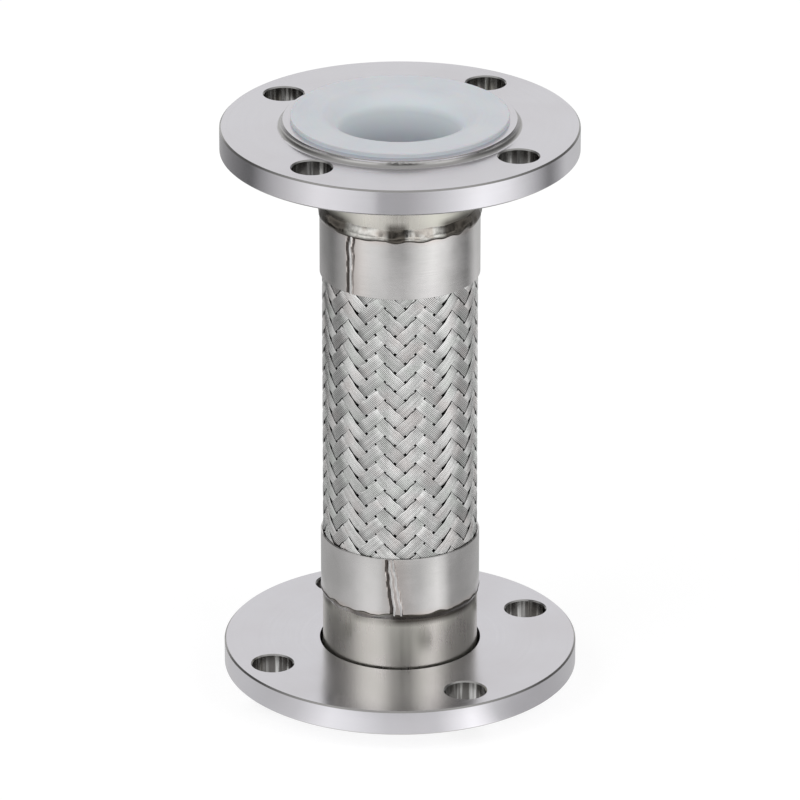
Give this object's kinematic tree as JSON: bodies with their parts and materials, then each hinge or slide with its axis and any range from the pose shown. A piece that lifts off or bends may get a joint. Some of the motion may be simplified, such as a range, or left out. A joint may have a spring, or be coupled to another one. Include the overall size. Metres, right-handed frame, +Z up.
{
  "type": "ptfe lined metal hose",
  "caption": "Short braided metal hose with a white convoluted liner flared over both ends, one welded flange and one flange that turns.",
  "frame": {"origin": "centre of the lower sealing face, on the liner's flare at the loose flange's end", "axes": "+Z up the bore from the loose flange to the fixed flange; +X to the right and +Y away from the viewer in the picture"},
  "size_m": [0.13, 0.13, 0.224],
  "materials": {
    "flange_steel": "turned, satin",
    "pipe_steel": "satin, slightly heat tinted",
    "ferrule_steel": "brushed band",
    "braid_wire": "bright drawn wire",
    "weld_bead": "bright rippled weld",
    "bellows_steel": "formed, dull",
    "ptfe": "smooth, waxy"
  },
  "bodies": {
    "hose": {"fixed_flange": "flange_steel", "fixed_neck": "pipe_steel", "stub_end": "pipe_steel", "flange_weld": "weld_bead", "upper_weld": "weld_bead", "lower_weld": "weld_bead", "upper_ferrule": "ferrule_steel", "lower_ferrule": "ferrule_steel", "upper_bellows_weld": "weld_bead", "lower_bellows_weld": "weld_bead", "bellows": "bellows_steel", "braid": "braid_wire", "ptfe_liner": "ptfe"},
    "loose_flange": {"loose_flange": "flange_steel"}
  },
  "joints": [
    {"name": "flange_swivel", "type": "hinge", "parent": "hose", "child": "loose_flange", "pos_m": [0, 0, 0.0123], "axis": [0, 0, 1], "continuous": true}
  ]
}
